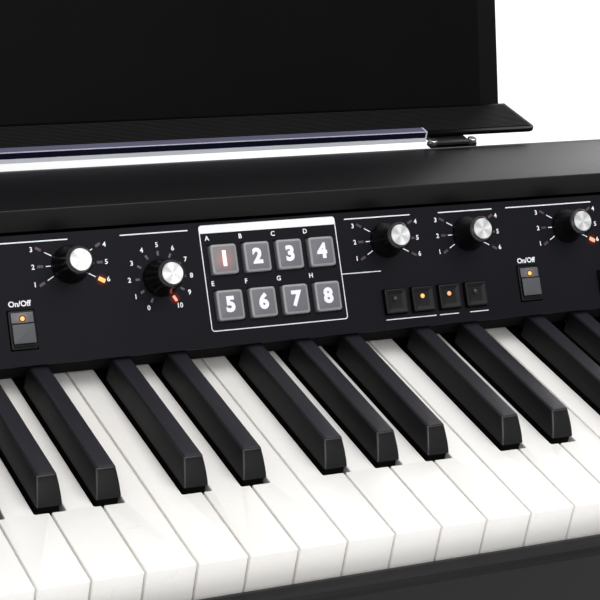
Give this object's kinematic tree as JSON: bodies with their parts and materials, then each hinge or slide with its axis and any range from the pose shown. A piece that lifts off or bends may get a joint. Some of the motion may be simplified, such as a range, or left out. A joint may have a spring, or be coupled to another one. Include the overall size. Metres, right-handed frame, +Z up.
{
  "type": "stage piano",
  "caption": "Stage piano with a weighted keyboard, a sloping control panel with knobs, lit buttons and switches, and a music desk with a clear page stop.",
  "frame": {"origin": "middle of the whole object's plan, at the level that the feet stand on", "axes": "+X along the keyboard towards the treble, +Y away from the player, +Z up"},
  "size_m": [1.1426, 0.3684, 0.3446],
  "materials": {
    "case": "fine textured black",
    "panel": "matte black paint",
    "white_key": "satin ivory",
    "black_key": "matte black with fine grain",
    "knob": "satin black with a spun metal cap",
    "pad": "translucent grey",
    "button": "satin black",
    "desk": "matte black",
    "steel": "black coated steel",
    "acrylic": "clear acrylic",
    "felt": "black felt",
    "board": "green solder mask"
  },
  "bodies": {
    "root": {"bottom_plate": "case", "key_bed": "white_key", "key_slip": "case", "felt_strip": "felt", "top_cover": "case", "cheek_left": "case", "cheek_right": "case", "control_panel": "panel", "panel_board": "board", "socket_panel": "steel", "desk_bracket_left": "steel", "desk_bracket_right": "steel", "desk_ledge": "desk", "desk_plate": "desk", "page_stop": "acrylic"},
    "prefx_type_knob": {"prefx_type_knob": "knob"},
    "amp_type_knob": {"amp_type_knob": "knob"},
    "sound_knob": {"sound_knob": "knob"},
    "variation_knob": {"variation_knob": "knob"},
    "modulation_knob": {"modulation_knob": "knob"},
    "reverb_knob": {"reverb_knob": "knob"},
    "volume_knob": {"volume_knob": "knob"},
    "eq_low_knob": {"eq_low_knob": "knob"},
    "eq_mid_knob": {"eq_mid_knob": "knob"},
    "eq_high_knob": {"eq_high_knob": "knob"},
    "prefx_level_knob": {"prefx_level_knob": "knob"},
    "drive_knob": {"drive_knob": "knob"},
    "modulation_speed_knob": {"modulation_speed_knob": "knob"},
    "reverb_depth_knob": {"reverb_depth_knob": "knob"},
    "favourite_button_1": {"favourite_button_1": "pad"},
    "favourite_button_2": {"favourite_button_2": "pad"},
    "favourite_button_3": {"favourite_button_3": "pad"},
    "favourite_button_4": {"favourite_button_4": "pad"},
    "favourite_button_5": {"favourite_button_5": "pad"},
    "favourite_button_6": {"favourite_button_6": "pad"},
    "favourite_button_7": {"favourite_button_7": "pad"},
    "favourite_button_8": {"favourite_button_8": "pad"},
    "square_button_1": {"square_button_1": "button"},
    "square_button_2": {"square_button_2": "button"},
    "square_button_3": {"square_button_3": "button"},
    "square_button_4": {"square_button_4": "button"},
    "speed_button": {"speed_button": "button"},
    "eq_switch": {"eq_switch": "button"},
    "prefx_switch": {"prefx_switch": "button"},
    "amp_switch": {"amp_switch": "button"},
    "modulation_switch": {"modulation_switch": "button"},
    "reverb_switch": {"reverb_switch": "button"},
    "key_c": {"key_c": "white_key"},
    "key_c_sharp": {"key_c_sharp": "black_key"},
    "key_d": {"key_d": "white_key"},
    "key_d_sharp": {"key_d_sharp": "black_key"},
    "key_e": {"key_e": "white_key"},
    "key_f": {"key_f": "white_key"},
    "key_f_sharp": {"key_f_sharp": "black_key"},
    "key_g": {"key_g": "white_key"},
    "key_g_sharp": {"key_g_sharp": "black_key"},
    "key_a": {"key_a": "white_key"},
    "key_a_sharp": {"key_a_sharp": "black_key"},
    "key_b": {"key_b": "white_key"},
    "power_switch": {"power_switch": "button"}
  },
  "joints": [
    {"name": "prefx_type_knob_turn", "type": "hinge", "parent": "root", "child": "prefx_type_knob", "pos_m": [-0.1746, 0.00134, 0.13465], "axis": [0, -0.8074, 0.59], "range_deg": [-120, 120]},
    {"name": "amp_type_knob_turn", "type": "hinge", "parent": "root", "child": "amp_type_knob", "pos_m": [-0.0587, 0.00134, 0.13465], "axis": [0, -0.8074, 0.59], "range_deg": [-120, 120]},
    {"name": "sound_knob_turn", "type": "hinge", "parent": "root", "child": "sound_knob", "pos_m": [0.1113, 0.00134, 0.13465], "axis": [0, -0.8074, 0.59], "range_deg": [-120, 120]},
    {"name": "variation_knob_turn", "type": "hinge", "parent": "root", "child": "variation_knob", "pos_m": [0.1597, 0.00134, 0.13465], "axis": [0, -0.8074, 0.59], "range_deg": [-120, 120]},
    {"name": "modulation_knob_turn", "type": "hinge", "parent": "root", "child": "modulation_knob", "pos_m": [0.2214, 0.00134, 0.13465], "axis": [0, -0.8074, 0.59], "range_deg": [-120, 120]},
    {"name": "reverb_knob_turn", "type": "hinge", "parent": "root", "child": "reverb_knob", "pos_m": [0.3395, 0.00134, 0.13465], "axis": [0, -0.8074, 0.59], "range_deg": [-120, 120]},
    {"name": "volume_knob_turn", "type": "hinge", "parent": "root", "child": "volume_knob", "pos_m": [-0.4295, -0.00444, 0.12674], "axis": [0, -0.8074, 0.59], "range_deg": [-150, 150]},
    {"name": "eq_low_knob_turn", "type": "hinge", "parent": "root", "child": "eq_low_knob", "pos_m": [-0.3324, -0.00444, 0.12674], "axis": [0, -0.8074, 0.59], "range_deg": [-150, 150]},
    {"name": "eq_mid_knob_turn", "type": "hinge", "parent": "root", "child": "eq_mid_knob", "pos_m": [-0.2888, -0.00444, 0.12674], "axis": [0, -0.8074, 0.59], "range_deg": [-150, 150]},
    {"name": "eq_high_knob_turn", "type": "hinge", "parent": "root", "child": "eq_high_knob", "pos_m": [-0.2452, -0.00444, 0.12674], "axis": [0, -0.8074, 0.59], "range_deg": [-150, 150]},
    {"name": "prefx_level_knob_turn", "type": "hinge", "parent": "root", "child": "prefx_level_knob", "pos_m": [-0.1299, -0.00444, 0.12674], "axis": [0, -0.8074, 0.59], "range_deg": [-150, 150]},
    {"name": "drive_knob_turn", "type": "hinge", "parent": "root", "child": "drive_knob", "pos_m": [-0.014, -0.00444, 0.12674], "axis": [0, -0.8074, 0.59], "range_deg": [-150, 150]},
    {"name": "modulation_speed_knob_turn", "type": "hinge", "parent": "root", "child": "modulation_speed_knob", "pos_m": [0.2661, -0.00444, 0.12674], "axis": [0, -0.8074, 0.59], "range_deg": [-150, 150]},
    {"name": "reverb_depth_knob_turn", "type": "hinge", "parent": "root", "child": "reverb_depth_knob", "pos_m": [0.3842, -0.00444, 0.12674], "axis": [0, -0.8074, 0.59], "range_deg": [-150, 150]},
    {"name": "favourite_button_1_press", "type": "slide", "parent": "root", "child": "favourite_button_1", "axis": [0, 0.8074, -0.59], "range_m": [0, 0.0015], "stiffness_N_per_m": 600, "springref_m": -0.0015},
    {"name": "favourite_button_2_press", "type": "slide", "parent": "root", "child": "favourite_button_2", "axis": [0, 0.8074, -0.59], "range_m": [0, 0.0015], "stiffness_N_per_m": 600, "springref_m": -0.0015},
    {"name": "favourite_button_3_press", "type": "slide", "parent": "root", "child": "favourite_button_3", "axis": [0, 0.8074, -0.59], "range_m": [0, 0.0015], "stiffness_N_per_m": 600, "springref_m": -0.0015},
    {"name": "favourite_button_4_press", "type": "slide", "parent": "root", "child": "favourite_button_4", "axis": [0, 0.8074, -0.59], "range_m": [0, 0.0015], "stiffness_N_per_m": 600, "springref_m": -0.0015},
    {"name": "favourite_button_5_press", "type": "slide", "parent": "root", "child": "favourite_button_5", "axis": [0, 0.8074, -0.59], "range_m": [0, 0.0015], "stiffness_N_per_m": 600, "springref_m": -0.0015},
    {"name": "favourite_button_6_press", "type": "slide", "parent": "root", "child": "favourite_button_6", "axis": [0, 0.8074, -0.59], "range_m": [0, 0.0015], "stiffness_N_per_m": 600, "springref_m": -0.0015},
    {"name": "favourite_button_7_press", "type": "slide", "parent": "root", "child": "favourite_button_7", "axis": [0, 0.8074, -0.59], "range_m": [0, 0.0015], "stiffness_N_per_m": 600, "springref_m": -0.0015},
    {"name": "favourite_button_8_press", "type": "slide", "parent": "root", "child": "favourite_button_8", "axis": [0, 0.8074, -0.59], "range_m": [0, 0.0015], "stiffness_N_per_m": 600, "springref_m": -0.0015},
    {"name": "square_button_1_press", "type": "slide", "parent": "root", "child": "square_button_1", "axis": [0, 0.8074, -0.59], "range_m": [0, 0.0015], "stiffness_N_per_m": 600, "springref_m": -0.0015},
    {"name": "square_button_2_press", "type": "slide", "parent": "root", "child": "square_button_2", "axis": [0, 0.8074, -0.59], "range_m": [0, 0.0015], "stiffness_N_per_m": 600, "springref_m": -0.0015},
    {"name": "square_button_3_press", "type": "slide", "parent": "root", "child": "square_button_3", "axis": [0, 0.8074, -0.59], "range_m": [0, 0.0015], "stiffness_N_per_m": 600, "springref_m": -0.0015},
    {"name": "square_button_4_press", "type": "slide", "parent": "root", "child": "square_button_4", "axis": [0, 0.8074, -0.59], "range_m": [0, 0.0015], "stiffness_N_per_m": 600, "springref_m": -0.0015},
    {"name": "speed_button_press", "type": "slide", "parent": "root", "child": "speed_button", "axis": [0, 0.8074, -0.59], "range_m": [0, 0.0015], "stiffness_N_per_m": 600, "springref_m": -0.0015},
    {"name": "eq_switch_press", "type": "slide", "parent": "root", "child": "eq_switch", "axis": [0, 0.8074, -0.59], "range_m": [0, 0.0015], "stiffness_N_per_m": 600, "springref_m": -0.0015},
    {"name": "prefx_switch_press", "type": "slide", "parent": "root", "child": "prefx_switch", "axis": [0, 0.8074, -0.59], "range_m": [0, 0.0015], "stiffness_N_per_m": 600, "springref_m": -0.0015},
    {"name": "amp_switch_press", "type": "slide", "parent": "root", "child": "amp_switch", "axis": [0, 0.8074, -0.59], "range_m": [0, 0.0015], "stiffness_N_per_m": 600, "springref_m": -0.0015},
    {"name": "modulation_switch_press", "type": "slide", "parent": "root", "child": "modulation_switch", "axis": [0, 0.8074, -0.59], "range_m": [0, 0.0015], "stiffness_N_per_m": 600, "springref_m": -0.0015},
    {"name": "reverb_switch_press", "type": "slide", "parent": "root", "child": "reverb_switch", "axis": [0, 0.8074, -0.59], "range_m": [0, 0.0015], "stiffness_N_per_m": 600, "springref_m": -0.0015},
    {"name": "key_c_stroke", "type": "hinge", "parent": "root", "child": "key_c", "pos_m": [-0.047, 0.04425, 0.06185], "axis": [1, 0, 0], "range_deg": [0, 2.69], "stiffness_Nm_per_rad": 1.5, "springref_deg": -6.88},
    {"name": "key_c_sharp_stroke", "type": "hinge", "parent": "root", "child": "key_c_sharp", "pos_m": [-0.0379, 0.04425, 0.06185], "axis": [1, 0, 0], "range_deg": [0, 2.69], "stiffness_Nm_per_rad": 1.5, "springref_deg": -6.88},
    {"name": "key_d_stroke", "type": "hinge", "parent": "root", "child": "key_d", "pos_m": [-0.0235, 0.04425, 0.06185], "axis": [1, 0, 0], "range_deg": [0, 2.69], "stiffness_Nm_per_rad": 1.5, "springref_deg": -6.88},
    {"name": "key_d_sharp_stroke", "type": "hinge", "parent": "root", "child": "key_d_sharp", "pos_m": [-0.00935, 0.04425, 0.06185], "axis": [1, 0, 0], "range_deg": [0, 2.69], "stiffness_Nm_per_rad": 1.5, "springref_deg": -6.88},
    {"name": "key_e_stroke", "type": "hinge", "parent": "root", "child": "key_e", "pos_m": [0, 0.04425, 0.06185], "axis": [1, 0, 0], "range_deg": [0, 2.69], "stiffness_Nm_per_rad": 1.5, "springref_deg": -6.88},
    {"name": "key_f_stroke", "type": "hinge", "parent": "root", "child": "key_f", "pos_m": [0.0235, 0.04425, 0.06185], "axis": [1, 0, 0], "range_deg": [0, 2.69], "stiffness_Nm_per_rad": 1.5, "springref_deg": -6.88},
    {"name": "key_f_sharp_stroke", "type": "hinge", "parent": "root", "child": "key_f_sharp", "pos_m": [0.0315, 0.04425, 0.06185], "axis": [1, 0, 0], "range_deg": [0, 2.69], "stiffness_Nm_per_rad": 1.5, "springref_deg": -6.88},
    {"name": "key_g_stroke", "type": "hinge", "parent": "root", "child": "key_g", "pos_m": [0.047, 0.04425, 0.06185], "axis": [1, 0, 0], "range_deg": [0, 2.69], "stiffness_Nm_per_rad": 1.5, "springref_deg": -6.88},
    {"name": "key_g_sharp_stroke", "type": "hinge", "parent": "root", "child": "key_g_sharp", "pos_m": [0.05875, 0.04425, 0.06185], "axis": [1, 0, 0], "range_deg": [0, 2.69], "stiffness_Nm_per_rad": 1.5, "springref_deg": -6.88},
    {"name": "key_a_stroke", "type": "hinge", "parent": "root", "child": "key_a", "pos_m": [0.0705, 0.04425, 0.06185], "axis": [1, 0, 0], "range_deg": [0, 2.69], "stiffness_Nm_per_rad": 1.5, "springref_deg": -6.88},
    {"name": "key_a_sharp_stroke", "type": "hinge", "parent": "root", "child": "key_a_sharp", "pos_m": [0.08555, 0.04425, 0.06185], "axis": [1, 0, 0], "range_deg": [0, 2.69], "stiffness_Nm_per_rad": 1.5, "springref_deg": -6.88},
    {"name": "key_b_stroke", "type": "hinge", "parent": "root", "child": "key_b", "pos_m": [0.094, 0.04425, 0.06185], "axis": [1, 0, 0], "range_deg": [0, 2.69], "stiffness_Nm_per_rad": 1.5, "springref_deg": -6.88},
    {"name": "power_switch_rock", "type": "hinge", "parent": "root", "child": "power_switch", "pos_m": [0.395, 0.15845, 0.05289], "axis": [1, 0, 0], "range_deg": [0, 14]}
  ]
}
